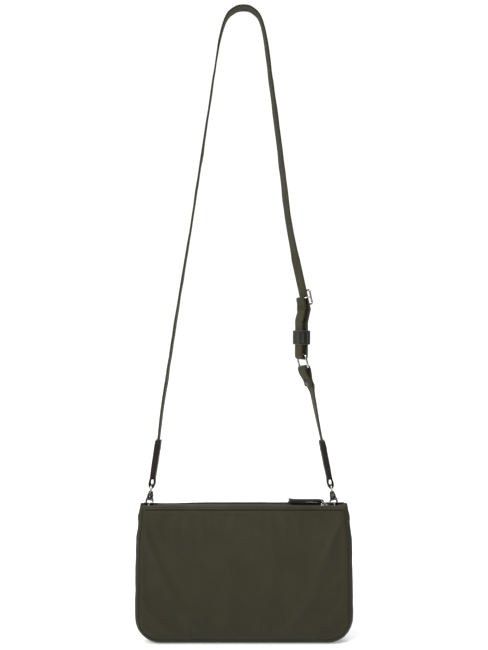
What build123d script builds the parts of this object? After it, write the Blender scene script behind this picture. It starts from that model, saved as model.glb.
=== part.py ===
from build123d import *
import os
from math import cos, radians, sin

# Crossbody purse: a flat zipped fabric pouch that hangs from one long webbing strap.
# Millimetres, +Z up, +X to the right, front of the pouch towards -Y.
# The origin is the underside of the strap at its highest point, where the purse is carried.

# ---------------------------------------------------------------- driving dimensions
webbing_width = 19.0
webbing_thick = 1.9
leather_thick = 1.7
leather_width = 19.6
leather_top = 71.0
webbing_end_up = 34.0
end_rivet_up = 66.0
rivet_shaft_radius = 1.3

pouch_top_z = -551.0
pouch_bottom_z = -704.5
pouch_half_top = 115.0
pouch_half_width = 121.3
gusset_half_depth = 8.0
panel_bulge = 4.6
bottom_corner_radius = 28.0
shoulder_drop = 22.0
fabric_thick = 0.9
lining_thick = 0.5
lining_gap = 0.3
body_gap = 0.35

band_height = 6.5
band_thick = 1.4
mouth_half_depth = 7.0

zip_left_x = -97.0
zip_right_x = 95.6
zip_z = -554.0
tape_thick = 0.6
teeth_thick = 1.6
teeth_reach = 2.2
teeth_slit = 0.9
tooth_pitch = 2.0
stop_length = 1.8

slider_length = 9.0
slider_width = 8.0
slider_plate = 0.9
slider_x = 89.3
pull_tab_length = 38.0
pull_tab_width = 8.5
pull_link_length = 4.8
pull_link_tilt = 45.0

contact_z = -550.5
left_contact_x = -105.5
right_contact_x = 100.4
left_lean = 8.4
right_lean = -11.2
ring_wire_radius = 0.8
hook_wire_radius = 1.0
hook_half_width = 3.9

adjuster_twist = 20.0
adjuster_lean = -2.5
adjuster_x = 65.0
adjuster_z = -365.7
strand_offset = 3.2
slider_centre_x = 66.9
slider_centre_z = -322.0
slider_lean = -11.4
slider_twist = 26.0

# The strap's middle line, from the left leather end over the top to the adjuster: x, z, twist.
left_strap_route = [
    (-91.3, -446.0, 1.0),
    (-86.1, -412.0, 2.0),
    (-72.2, -324.0, 1.0),
    (-57.8, -235.0, 1.0),
    (-44.2, -146.0, 1.0),
    (-34.0, -79.0, 2.0),
    (-27.2, -35.0, 2.0),
    (-19.6, -10.5, 1.0),
    (-9.6, -1.0, 0.0),
    (0.0, 0.95, 0.0),
]
right_strap_route = [
    (8.6, -1.2, 0.0),
    (17.8, -11.0, 2.0),
    (24.0, -35.0, 6.0),
    (29.8, -79.0, 8.0),
    (38.4, -146.0, 12.0),
    (49.0, -232.0, 15.0),
    (54.8, -265.0, 19.0),
]
lower_strap_route = [
    (74.6, -427.5, 8.0),
    (78.4, -442.0, 4.0),
    (82.6, -461.5, 1.0),
]


# ---------------------------------------------------------------- helpers
def export(name, shape):
    shape.label = name
    export_step(shape, os.path.join("parts", name + ".step"))


def blended_points(points, steps):
    """Points on a smooth curve through the given ones, with the given number of steps between two."""
    smooth = []
    last = len(points) - 1
    for i in range(last):
        before = points[max(i - 1, 0)]
        start, end = points[i], points[i + 1]
        after = points[min(i + 2, last)]
        for k in range(steps):
            t = k / steps
            weights = (
                (-t + 2 * t**2 - t**3) / 2,
                (2 - 5 * t**2 + 3 * t**3) / 2,
                (t + 4 * t**2 - 3 * t**3) / 2,
                (t**3 - t**2) / 2,
            )
            corners = (before, start, end, after)
            smooth.append(tuple(sum(w * c[n] for w, c in zip(weights, corners)) for n in range(len(start))))
    smooth.append(tuple(points[-1]))
    return smooth


def webbing(stations):
    """A flat ribbon through stations: a place, then the direction of the ribbon's width there."""
    sections = []
    for i, here in enumerate(stations):
        before = Vector(*stations[max(i - 1, 0)][:3])
        after = Vector(*stations[min(i + 1, len(stations) - 1)][:3])
        along = (after - before).normalized()
        across = Vector(*here[3:])
        across = (across - along * across.dot(along)).normalized()
        section = Plane(origin=here[:3], x_dir=across, z_dir=along)
        sections.append(section * Rectangle(webbing_width, webbing_thick))
    return loft(sections, ruled=True)


def station(frame, across, up):
    """A webbing station in a local frame: across its strands, and up the strap."""
    place = (frame * Location((across, 0, up))).position
    width = (frame * Location((across, 1, up))).position - place
    return place.X, place.Y, place.Z, width.X, width.Y, width.Z


def route_stations(route):
    """Stations from points of x, z and twist in degrees about the vertical."""
    return [(x, 0, z, -sin(radians(twist)), cos(radians(twist)), 0) for x, z, twist in route]


def leaning_frame(x, z, lean, twist=0.0):
    """A local frame whose z leans to the right by lean degrees, turned by twist about it."""
    frame = Plane(
        origin=(x, 0, z),
        x_dir=(cos(radians(lean)), 0, -sin(radians(lean))),
        z_dir=(sin(radians(lean)), 0, cos(radians(lean))),
    )
    return Location(frame) * Rotation(0, 0, twist)


def front_plane(y):
    """A sketch plane facing forward: local x is +X, local y is +Z."""
    return Plane.XZ.offset(-y)


def rod(start, end, radius):
    """A round rod from one point to another."""
    axis = Vector(*end) - Vector(*start)
    return Plane(origin=start, z_dir=axis) * Cylinder(
        radius, axis.length, align=(Align.CENTER, Align.CENTER, Align.MIN)
    )


def wire_loop(path, radius):
    """Round wire bent along a closed path."""
    start = path @ 0
    section = Plane(origin=start, z_dir=path % 0) * Circle(radius)
    return sweep(section, path=path)


def rivet_shaft():
    """The middle of a strap rivet, lying across the strap."""
    return rod((-5.0, 0, 0), (5.0, 0, 0), rivet_shaft_radius)


def rivet(half_stack):
    """A flat-headed rivet whose heads bear on a stack of the given half thickness."""
    reach = half_stack + 0.2
    shaft = rod((-reach, 0, 0), (reach, 0, 0), rivet_shaft_radius)
    head = Rotation(0, 90, 0) * Cylinder(3.0, 1.0)
    return shaft + Pos(-half_stack - 0.52, 0, 0) * head + Pos(half_stack + 0.52, 0, 0) * head


def mirrored_back(shape):
    return mirror(shape, Plane.XZ)


# ---------------------------------------------------------------- strap and its adjuster
ring_bar_radius = 1.2
upper_turn_up = -20.3
ring_top_up = -21.2
ring_bottom_up = -35.2
ring_bar_y = webbing_width / 2 + 1.9
lower_rivet_up = -17.5
lower_turn = -14.5
adjuster_frame = leaning_frame(adjuster_x, adjuster_z, adjuster_lean, adjuster_twist)
slider_frame = leaning_frame(slider_centre_x, slider_centre_z, slider_lean, slider_twist)
lower_frame = adjuster_frame * Location((0, 0, ring_bottom_up)) * Rotation(0, lower_turn, 0)
side_frame = {
    "left": leaning_frame(left_contact_x, contact_z, left_lean),
    "right": leaning_frame(right_contact_x, contact_z, right_lean),
}


def end_stations(side):
    """The webbing's straight end, held between the two legs of the leather end."""
    return [station(side_frame[side], 0, up) for up in (webbing_end_up, leather_top, leather_top + 3.0)]


def turn_stations(frame, radius, up, first_angle, last_angle):
    """Stations round a fold of the given middle radius, whose centre is up the frame."""
    steps = 8
    angles = [radians(first_angle + (last_angle - first_angle) * k / steps) for k in range(steps + 1)]
    return [station(frame, radius * cos(angle), up + radius * sin(angle)) for angle in angles]


def strap_main():
    left_end = end_stations("left")
    upper = route_stations(left_strap_route + right_strap_route)
    through_slider = [station(slider_frame, 0, up) for up in (44.0, 36.0, 10.0, -10.0, -13.0)]
    into_keeper = [station(adjuster_frame, strand_offset, up) for up in (17.0, 12.0, -12.0)]
    stations = left_end[:2] + blended_points(left_end[2:] + upper + through_slider + into_keeper, 4)
    stations += turn_stations(adjuster_frame, strand_offset, upper_turn_up, 0, -180)
    stations += [station(adjuster_frame, -strand_offset, up) for up in (0.0, 20.0)]
    return webbing(stations) - side_frame["left"] * Pos(0, 0, end_rivet_up) * rivet_shaft()


def lower_strap():
    """The short lower webbing, folded over the ring's lower bar and closed by a rivet."""
    fold_radius = ring_bar_radius + 0.9 + webbing_thick / 2
    fold_up = -0.6
    layer = webbing_thick / 2 + 0.02
    tail = [station(lower_frame, -layer, up) for up in (lower_rivet_up - 4.0, lower_rivet_up + 4.0)]
    tail.append(station(lower_frame, -fold_radius + 0.3, -4.5))
    fold = turn_stations(lower_frame, fold_radius, fold_up, 180, 0)
    front = [station(lower_frame, fold_radius - 0.3, -4.5)]
    front += [station(lower_frame, layer, up) for up in (lower_rivet_up + 4.0, lower_rivet_up - 4.0)]
    right_end = end_stations("right")
    lower = blended_points(route_stations(lower_strap_route) + right_end[2:], 4)
    strap = webbing(tail + fold + front + lower + right_end[1::-1])
    strap = strap - side_frame["right"] * Pos(0, 0, end_rivet_up) * rivet_shaft()
    return strap - lower_frame * Pos(0, 0, lower_rivet_up) * rivet_shaft()


def lower_rivet():
    return lower_frame * Pos(0, 0, lower_rivet_up) * rivet(webbing_thick + 0.1)


def adjuster_ring():
    """The rectangular wire ring between the doubled strap and the lower strap."""
    middle = (ring_top_up + ring_bottom_up) / 2
    height = ring_top_up - ring_bottom_up
    path = (Plane.YZ * RectangleRounded(2 * ring_bar_y, height, 2.2)).wire()
    return adjuster_frame * Location((0, 0, middle)) * wire_loop(path, ring_bar_radius)


def keeper():
    """The leather loop that holds the two strands together."""
    wall, height = 1.6, 15.0
    inner_x = 2 * strand_offset + webbing_thick + 0.8
    inner_y = webbing_width + 1.0
    outer = Box(inner_x + 2 * wall, inner_y + 2 * wall, height)
    outer = fillet(outer.edges().filter_by(Axis.Z), 3.0)
    inner = fillet(Box(inner_x, inner_y, height + 2).edges().filter_by(Axis.Z), 0.6)
    return adjuster_frame * (outer - inner)


slider_bar_radius = 0.9
tail_thick = 1.3
centre_bar_n = -(webbing_thick / 2 + 0.15 + tail_thick + 0.1 + slider_bar_radius)
outer_bar_n = webbing_thick / 2 + slider_bar_radius + 0.25
slider_height = 17.5
slider_bar_y = webbing_width / 2 + 1.9


def strap_slider():
    """The metal slider: straight rails and outer bars right of the strap, the cranked bar left of it."""
    outer_z = slider_height / 2 - slider_bar_radius
    crank_y = slider_bar_y - 1.1
    corners = [
        [(outer_bar_n, -slider_bar_y, outer_z), (outer_bar_n, slider_bar_y, outer_z)],
        [(outer_bar_n, -slider_bar_y, -outer_z), (outer_bar_n, slider_bar_y, -outer_z)],
        [(centre_bar_n, -crank_y, 0.0), (centre_bar_n, crank_y, 0.0)],
    ]
    for side in (-1, 1):
        y = side * slider_bar_y
        corners.append([(outer_bar_n, y, -outer_z), (outer_bar_n, y, outer_z)])
        corners.append([(centre_bar_n, side * crank_y, 0.0), (outer_bar_n, y, 0.0)])
    bars = [rod(start, end, slider_bar_radius) for start, end in corners]
    ends = {end for pair in corners for end in pair}
    bars += [Pos(*end) * Sphere(slider_bar_radius) for end in sorted(ends)]
    frame = bars[0]
    for bar in bars[1:]:
        frame = frame + bar
    return slider_frame * frame


def strap_tail_loop():
    """The sewn end of the strap, closed round the slider's centre bar."""
    inner = slider_bar_radius + 0.1
    ring = Circle(inner + tail_thick)
    legs = Pos(-0.9, -5.0) * Rectangle(2 * tail_thick, 10.0)
    profile = (ring + legs) - Circle(inner)
    loop = extrude(Plane.XZ * profile, webbing_width / 2 - 0.2, both=True)
    return slider_frame * Location((centre_bar_n, 0, 0)) * loop


# ---------------------------------------------------------------- leather ends and clips
eye_top = 21.1
eye_bottom = 16.4
eye_half_width = 7.2
leather_bottom = 17.7


def leather_end():
    """One leather strip folded round the clip's eye, its two legs holding the webbing's end."""
    top = leather_top
    half = webbing_thick / 2 + leather_thick
    outer = Polyline(
        (-half, top), (-half, 46.0), (-3.7, 24.0), (-2.2, leather_bottom), (2.2, leather_bottom),
        (3.7, 24.0), (half, 46.0), (half, top), close=True,
    )
    outline = make_face(outer)
    outline = fillet(outline.vertices().group_by(Axis.Y)[0], 1.6)
    outline = fillet(outline.vertices().sort_by(Axis.Y)[-6:-2], 4.0)
    slit_bottom = webbing_end_up - 1.0
    slit = Pos(0, (top + slit_bottom) / 2 + 1.0) * Rectangle(webbing_thick + 0.04, top - slit_bottom + 2.0)
    eye_space = Pos(0, 23.6) * Ellipse(2.05, 4.3)
    profile = outline - slit - eye_space
    strip = extrude(Plane.XZ * profile, leather_width / 2, both=True)
    width_outline = Polyline(
        (-5.6, leather_bottom - 1), (5.6, leather_bottom - 1), (5.6, 25.0), (leather_width / 2, 36.0),
        (leather_width / 2, top + 1), (-leather_width / 2, top + 1), (-leather_width / 2, 36.0), (-5.6, 25.0),
        close=True,
    )
    width_face = make_face(width_outline)
    shaped = strip & extrude(Plane.YZ * width_face, 10.0, both=True)
    return shaped - Pos(0, 0, end_rivet_up) * rivet_shaft()


def end_rivet():
    """The flat-headed rivet through the leather and the webbing."""
    return Pos(0, 0, end_rivet_up) * rivet(webbing_thick / 2 + leather_thick)


def clip_eye():
    """The closed wire eye with its swivel post and the post's riveted head."""
    path = (Plane.YZ * RectangleRounded(2 * eye_half_width, eye_top - eye_bottom, 2.0)).wire()
    eye = Pos(0, 0, (eye_top + eye_bottom) / 2) * wire_loop(path, hook_wire_radius)
    post = rod((0, 0, 8.4), (0, 0, eye_bottom), 1.2)
    head = rod((0, 0, 7.3), (0, 0, 8.5), 1.9)
    return eye + post + head


def clip_body(gate_side):
    """The swivel collar, the fork for the gate and the hook, in one casting."""
    collar = rod((0, 0, 9.0), (0, 0, 14.0), 2.9)
    collar = chamfer(collar.edges().sort_by(Axis.Z)[-1], 0.8)
    window_walls = Pos(0, 0, 7.2) * (Box(8.0, 4.0, 5.0) - Box(4.8, 6.0, 5.2))
    bridge = Pos(0, 0, 4.9) * Box(10.0, 4.6, 2.8)
    casting = collar + window_walls + bridge
    casting = casting - rod((0, 0, 5.0), (0, 0, 20.0), 1.32) + Pos(0, 0, 4.9) * Box(6.0, 4.6, 2.8)
    hook_centre_z = 0.5
    closed_leg = rod(
        (-gate_side * hook_half_width, 0, 5.0), (-gate_side * hook_half_width, 0, hook_centre_z), hook_wire_radius
    )
    arc = CenterArc((0, 0), hook_half_width, 180, 180)
    bottom = sweep(
        Plane(origin=arc @ 0, z_dir=arc % 0) * Circle(hook_wire_radius), path=arc
    )
    bottom = Pos(0, 0, hook_centre_z) * Rotation(90, 0, 0) * bottom
    tip_side = gate_side * hook_half_width
    tip = rod((tip_side, 0, hook_centre_z), (tip_side, 0, hook_centre_z + 1.4), hook_wire_radius)
    slot = Pos(gate_side * 4.4, 0, 4.9) * Box(3.6, 3.0, 4.0)
    pin_hole = rod((tip_side - gate_side * 0.2, -3, 5.0), (tip_side - gate_side * 0.2, 3, 5.0), 0.62)
    return casting + closed_leg + bottom + tip - slot - pin_hole


def gate_pin(gate_side):
    x = gate_side * (hook_half_width - 0.2)
    return rod((x, -2.3, 5.0), (x, 2.3, 5.0), 0.6)


def gate(gate_side):
    """The sprung gate with the small thumb stud that opens it."""
    x = gate_side * (hook_half_width - 0.2)
    bar = Pos(x + gate_side * 0.1, 0, 4.0) * Box(1.6, 2.4, 3.2)
    eye = rod((x, -1.2, 5.0), (x, 1.2, 5.0), 1.1)
    stud = Pos(x + gate_side * 1.5, 0, 3.6) * Box(1.4, 1.6, 1.2)
    notch = Pos(x, 0, 5.2) * Box(4.0, 1.2, 2.6)
    hole = rod((x, -3, 5.0), (x, 3, 5.0), 0.66)
    return bar + eye + stud - hole - notch


def gate_spring(gate_side):
    """The torsion spring's coils round the pin, in the gate's notch."""
    x = gate_side * (hook_half_width - 0.2)
    coils = [Pos(x, y, 5.0) * Rotation(90, 0, 0) * Torus(0.86, 0.16) for y in (-0.28, 0.0, 0.28)]
    return coils[0] + coils[1:]


def d_ring():
    """The half-round wire ring that the clip hooks into; its straight bar is at the bottom."""
    arc_radius, bar_z, corner = 5.0, -8.0, 1.2
    arc = CenterArc((0, -arc_radius), arc_radius, 0, 180)
    left_leg = Line((-arc_radius, -arc_radius), (-arc_radius, bar_z + corner))
    left_corner = RadiusArc(left_leg @ 1, (-arc_radius + corner, bar_z), -corner)
    bar = Line(left_corner @ 1, (arc_radius - corner, bar_z))
    right_corner = RadiusArc(bar @ 1, (arc_radius, bar_z + corner), -corner)
    right_leg = Line(right_corner @ 1, (arc_radius, -arc_radius))
    path = Plane.YZ * Wire([arc, left_leg, left_corner, bar, right_corner, right_leg])
    return wire_loop(path, ring_wire_radius)


def d_ring_tab(contact_x, side):
    """The folded fabric tab that holds the ring's bar and is sewn into the side seam."""
    bar_z = contact_z - 8.0
    inner = ring_wire_radius + 0.35
    outer = inner + fabric_thick
    wall_x = side * (pouch_half_top - 1.6)
    reach = abs(wall_x - contact_x)
    middle_x = (wall_x + contact_x) / 2
    tail = Pos(middle_x, bar_z - outer + fabric_thick) * Rectangle(reach, 2 * fabric_thick)
    profile = Pos(contact_x, bar_z) * Circle(outer) + tail - Pos(contact_x, bar_z) * Circle(inner)
    return extrude(Plane.XZ * profile, 3.3, both=True)


# ---------------------------------------------------------------- pouch
def pouch_outline(inset, top_inset, y):
    """The pouch seen from the front, drawn in from its edge by inset, on the plane at y."""
    half_top = pouch_half_top - inset
    half = pouch_half_width - inset
    top = pouch_top_z - band_height - top_inset
    shoulder = pouch_top_z - shoulder_drop - inset * 0.5
    bottom = pouch_bottom_z + inset
    corner = bottom_corner_radius - 0.35 * inset
    border = Polyline(
        (-half_top, top), (-half, shoulder), (-half, bottom), (half, bottom), (half, shoulder), (half_top, top),
        close=True,
    )
    outline = make_face(border)
    outline = fillet(outline.vertices().group_by(Axis.Y)[0], corner)
    shoulders = [v for v in outline.vertices() if abs(v.Y - shoulder) < 0.01]
    outline = fillet(shoulders, 18.0)
    return front_plane(y) * outline


seam_inset = 2.4
panel_profile = [
    (0.0, 0.0, 0.0),
    (0.45, 3.0, 2.2),
    (0.8, 14.0, 10.0),
    (1.0, 36.0, 27.0),
]


def panel_solid(shrink, rim_y):
    """A domed slab: outlines that draw in as they stand proud of the seam plane."""
    sections = []
    for rise, inset, top_inset in panel_profile:
        y = rim_y - rise * panel_bulge
        sections.append(pouch_outline(seam_inset + inset + shrink, top_inset + shrink, y))
    return loft(sections, ruled=True)


def front_shell(depth, thick):
    """An open domed tray, the outer face drawn in by depth from the panel's outside."""
    rim = -gusset_half_depth
    outer = panel_solid(depth, rim + depth)
    inner = panel_solid(depth + thick, rim + depth + thick)
    keep = Pos(0, rim - 50.0, -620.0) * Box(300, 100, 200)
    return (outer - inner) & keep


def gusset():
    """The strip round the sides and bottom, bowed slightly outwards, open at the top."""
    profile = [(-1.0, 1.0), (-0.7, 0.3), (-0.4, 0.0), (0.4, 0.0), (0.7, 0.3), (1.0, 1.0)]
    front_y = -gusset_half_depth + body_gap

    def bowed(shrink):
        sections = []
        for place, draw_in in profile:
            y = front_y if place == -1.0 else place * gusset_half_depth
            sections.append(pouch_outline(seam_inset * draw_in + shrink, -8.0, y))
        return loft(sections, ruled=True)

    mouth = Pos(0, 0, pouch_top_z - band_height + 12.0) * Box(2 * pouch_half_top - 4.0, 40, 27.0)
    above = Pos(0, 0, pouch_top_z + 19.5) * Box(300, 40, 40)
    return bowed(0.0) - bowed(fabric_thick) - mouth - above


def top_band():
    """The doubled fabric band along the front of the mouth, with a turned top edge."""
    height = band_height
    profile = RectangleRounded(band_thick, height, 0.6)
    y = -mouth_half_depth - band_thick / 2
    band = Plane.YZ * Pos(y, pouch_top_z - height / 2) * profile
    return extrude(band, pouch_half_top - 3.4, both=True)


def zip_tape():
    """The front tape, from the band's inner face to the teeth."""
    reach = mouth_half_depth - teeth_slit / 2 - teeth_reach
    left, right = zip_left_x - 2.4, zip_right_x + 1.4
    y = -(teeth_slit / 2 + teeth_reach + reach / 2)
    return Pos((left + right) / 2, y, zip_z) * Box(right - left, reach, tape_thick)


def zip_teeth():
    """The front row of teeth on its cord: a rack whose teeth point to the middle."""
    left, right = zip_left_x + stop_length, zip_right_x - stop_length
    count = int((right - left) / tooth_pitch)
    root = -(teeth_slit / 2 + teeth_reach)
    cord_edge = root + 0.9
    tip = -teeth_slit / 2
    border = [(left, root), (left, cord_edge)]
    for i in range(count):
        x = left + i * tooth_pitch
        border += [(x + 0.4, cord_edge), (x + 0.4, tip), (x + 1.5, tip), (x + 1.5, cord_edge)]
    border += [(right, cord_edge), (right, root)]
    rack = make_face(Polyline(*border, close=True))
    return Pos(0, 0, zip_z - teeth_thick / 2) * extrude(rack, teeth_thick)


def zip_bottom_stop():
    """The clamp across both tapes at the left end."""
    return Pos(zip_left_x + 0.8, 0, zip_z) * Box(1.5, 2 * teeth_reach + teeth_slit, teeth_thick + 0.6)


def zip_top_stop():
    """The front row's own stop at the closed end."""
    y = -(teeth_slit / 2 + teeth_reach / 2)
    return Pos(zip_right_x - 0.85, y, zip_z) * Box(1.5, teeth_reach, teeth_thick + 0.6)


slider_rise = teeth_thick / 2 + 0.35


def zip_slider():
    """Two plates over and under the teeth, joined by a thin web, with the bail on top."""
    plates = []
    for side in (-1, 1):
        z = zip_z + side * (slider_rise + slider_plate / 2)
        plate = Pos(slider_x, 0, z) * Box(slider_length, slider_width, slider_plate)
        plates.append(chamfer(plate.edges().filter_by(Axis.Z), 2.0))
    web = Pos(slider_x, 0, zip_z) * Box(slider_length - 2.0, 0.3, 2 * slider_rise + 0.2)
    top = zip_z + slider_rise + slider_plate
    foot_height = 1.0
    feet = [
        Pos(slider_x + dx, 0, top + foot_height / 2 - 0.05) * Box(1.2, 1.6, foot_height + 0.1)
        for dx in (-2.9, 2.9)
    ]
    bar = Pos(slider_x, 0, top + foot_height + 0.45) * Box(7.0, 1.6, 0.9)
    body = plates[0] + plates[1] + web + feet + bar
    return body


pull_pivot_x = slider_x + 1.2
pull_pivot_z = zip_z + slider_rise + slider_plate + 0.52


def pull_link():
    """The wire link through the slider's bail; the leather tab is folded round its far end."""
    left, right, half = -pull_link_length, 0.0, 3.0
    path = (Plane.XY * Pos((left + right) / 2, 0) * RectangleRounded(right - left, 2 * half, 1.0)).wire()
    link = wire_loop(path, 0.42)
    return Pos(pull_pivot_x, 0, pull_pivot_z) * Rotation(0, pull_link_tilt, 0) * link


def pull_tab():
    """The leather tab: one strip folded round the link and sewn flat."""
    eye_x = pull_pivot_x - pull_link_length * cos(radians(pull_link_tilt))
    eye_z = pull_pivot_z + pull_link_length * sin(radians(pull_link_tilt))
    leaf = 1.2
    inner = 0.6
    ring = Circle(inner + leaf)
    leaves = Pos(-pull_tab_length / 2, -0.2) * Rectangle(pull_tab_length, 2 * leaf)
    profile = ring + leaves - Circle(inner)
    tab = extrude(Plane.XZ * profile, 2.4, both=True)
    flat = Pos(-pull_tab_length / 2 - 3.0, 0, -0.2) * Box(pull_tab_length - 6.0, pull_tab_width, 2 * leaf)
    flat = fillet(flat.edges().filter_by(Axis.Z), 1.5)
    return Pos(eye_x, 0, eye_z) * (tab + flat)


# ---------------------------------------------------------------- write the parts
def side_parts(side):
    """The leather end, clip and ring of one side, by node name."""
    is_left = side == "left"
    contact_x = left_contact_x if is_left else right_contact_x
    lean = left_lean if is_left else right_lean
    gate_side = 1 if is_left else -1
    frame = leaning_frame(contact_x, contact_z, lean)
    upright = Location((contact_x, 0, contact_z))
    return {
        side + "_leather_end": frame * leather_end(),
        side + "_end_rivet": frame * end_rivet(),
        side + "_clip_eye": frame * clip_eye(),
        side + "_clip_body": frame * clip_body(gate_side),
        side + "_gate": frame * gate(gate_side),
        side + "_gate_pin": frame * gate_pin(gate_side),
        side + "_gate_spring": frame * gate_spring(gate_side),
        side + "_d_ring": upright * d_ring(),
        side + "_d_ring_tab": d_ring_tab(contact_x, -1 if is_left else 1),
    }


def all_parts():
    front_panel = front_shell(0.0, fabric_thick)
    front_lining = front_shell(fabric_thick + lining_gap, lining_thick)
    parts = {
        "strap_main": strap_main(),
        "strap_tail_loop": strap_tail_loop(),
        "strap_slider": strap_slider(),
        "keeper": keeper(),
        "adjuster_ring": adjuster_ring(),
        "lower_strap": lower_strap(),
        "lower_rivet": lower_rivet(),
        "front_panel": front_panel,
        "back_panel": mirrored_back(front_panel),
        "front_lining": front_lining,
        "back_lining": mirrored_back(front_lining),
        "gusset": gusset(),
        "front_top_band": top_band(),
        "back_top_band": mirrored_back(top_band()),
        "zip_tape_front": zip_tape(),
        "zip_tape_back": mirrored_back(zip_tape()),
        "zip_teeth_front": zip_teeth(),
        "zip_teeth_back": mirrored_back(zip_teeth()),
        "zip_bottom_stop": zip_bottom_stop(),
        "zip_top_stop_front": zip_top_stop(),
        "zip_top_stop_back": mirrored_back(zip_top_stop()),
        "zip_slider": zip_slider(),
        "zip_pull_link": pull_link(),
        "zip_pull_tab": pull_tab(),
    }
    for side in ("left", "right"):
        parts.update(side_parts(side))
    return parts


os.makedirs("parts", exist_ok=True)
for node, solid in all_parts().items():
    export(node, solid)
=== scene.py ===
from math import cos, pi, radians, sin

import bpy
import numpy as np
from mathutils import Matrix, Vector, geometry, noise


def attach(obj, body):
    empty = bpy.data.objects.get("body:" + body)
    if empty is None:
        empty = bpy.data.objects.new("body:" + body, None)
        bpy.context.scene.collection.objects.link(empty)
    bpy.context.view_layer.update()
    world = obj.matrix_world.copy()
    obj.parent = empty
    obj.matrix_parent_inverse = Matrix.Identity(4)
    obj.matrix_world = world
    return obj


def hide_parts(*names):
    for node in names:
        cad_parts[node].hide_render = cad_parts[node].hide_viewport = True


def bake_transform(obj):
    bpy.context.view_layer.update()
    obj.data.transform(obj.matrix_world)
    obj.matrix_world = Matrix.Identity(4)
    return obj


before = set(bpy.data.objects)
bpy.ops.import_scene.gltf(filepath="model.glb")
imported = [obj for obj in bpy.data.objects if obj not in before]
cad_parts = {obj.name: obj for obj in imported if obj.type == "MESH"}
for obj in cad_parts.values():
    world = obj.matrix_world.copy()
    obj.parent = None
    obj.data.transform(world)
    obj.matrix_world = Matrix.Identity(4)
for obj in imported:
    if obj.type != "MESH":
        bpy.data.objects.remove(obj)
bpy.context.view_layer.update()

# The looks of the crossbody purse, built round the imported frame. Lengths are in millimetres until
# a mesh is made, and then in metres: +Z up, +X to the right, the front of the pouch towards -Y.

MM = 0.001

# ---------------------------------------------------------------- driving sizes: millimetres, degrees
webbing_width = 19.0
webbing_thick = 1.9
leather_thick = 2.0
leather_width = 19.6
leather_top = 71.0
webbing_end_up = 28.5
webbing_taper = 2.4
end_rivet_up = 66.0

pouch_bottom_z = -704.5
corner_radius = 28.0
pouch_half_width = 121.3
seam_inset = 4.6
seam_y = 7.4
band_bottom_z = -557.2
band_y = 8.25
band_half_length = 112.4
mouth_half_depth = 6.6
mouth_end_x = 114.6
lining_gap = 1.9
zip_left_x = -97.0
zip_right_x = 95.6
zip_z = -554.0
slider_x = 89.3
slider_plate_rise = 1.35
pull_pivot = (90.5, 0.0, -551.43)
pull_link_length = 4.8
pull_link_tilt = 45.0
pull_tab_length = 38.0
pull_tab_width = 8.5

contact_z = -550.5
contact_x = {"left": -105.5, "right": 100.4}
clip_lean = {"left": 8.4, "right": -11.2}
gate_side = {"left": 1, "right": -1}
ring_wire = 0.8
hook_wire = 1.15
hook_half_width = 3.5
hook_centre_up = 0.0

strand_offset = 3.2
upper_turn_up = -20.3
ring_top_up = -20.4
ring_height = 14.0
ring_bar_radius = 1.2
ring_bar_y = webbing_width / 2 + 1.9
lower_rivet_up = -17.5
slider_bar_radius = 0.9
tail_thick = 1.3
centre_bar_n = -(webbing_thick / 2 + 0.15 + tail_thick + 0.1 + slider_bar_radius)
outer_bar_n = webbing_thick / 2 + slider_bar_radius + 0.95
slider_height = 17.5

# The strap's middle line from the left leather end to the slider: x, z, twist in degrees.
left_strap_route = [
    (-91.1, -446.0, -1.5),
    (-85.9, -412.0, -2.5),
    (-72.2, -324.0, -0.5),
    (-57.8, -235.0, 1.0),
    (-44.2, -146.0, 1.0),
    (-34.0, -79.0, 2.0),
    (-27.2, -35.0, 2.0),
    (-19.6, -10.5, 1.0),
    (-9.6, -1.0, 0.0),
    (0.0, 0.95, 0.0),
]
right_strap_route = [
    (8.6, -1.2, 0.0),
    (17.8, -11.0, 2.0),
    (24.0, -35.0, 6.0),
    (29.8, -79.0, 8.0),
    (38.4, -146.0, 12.0),
    (49.0, -232.0, 15.0),
    (54.8, -265.0, 17.0),
]
lower_strap_route = [
    (76.1, -427.5, 9.0),
    (78.9, -442.0, 6.0),
    (82.6, -461.5, 2.0),
]


# ---------------------------------------------------------------- local frames and curves
def leaning_frame(x, z, lean, twist=0.0):
    """A local frame whose z leans to the right by lean degrees, turned by twist about it."""
    tilt = Matrix.Rotation(radians(lean), 4, "Y")
    turn = Matrix.Rotation(radians(twist), 4, "Z")
    return Matrix.Translation((x, 0, z)) @ tilt @ turn


adjuster_frame = leaning_frame(63.9, -365.7, 0.3, 20.0)
slider_frame = leaning_frame(66.9, -322.0, -12.4, 22.0)
ring_frame = adjuster_frame @ Matrix.Translation((0, 0, ring_top_up))
ring_frame = ring_frame @ Matrix.Rotation(radians(-6.0), 4, "X") @ Matrix.Rotation(radians(-10.7), 4, "Y")
lower_frame = ring_frame @ Matrix.Translation((0, 0, -ring_height)) @ Matrix.Rotation(radians(-6.9), 4, "Y")
side_frame = {side: leaning_frame(contact_x[side], contact_z, clip_lean[side]) for side in contact_x}


def station(local, across, up):
    """A ribbon station: its place and the direction of the ribbon's width."""
    return local @ Vector((across, 0, up)), local.to_3x3() @ Vector((0, 1, 0))


def route_stations(route):
    return [(Vector((x, 0, z)), Vector((-sin(radians(t)), cos(radians(t)), 0))) for x, z, t in route]


def in_frame(local, points):
    return [local @ Vector(p) for p in points]


def clamped(value):
    return min(max(value, 0.0), 1.0)


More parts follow.
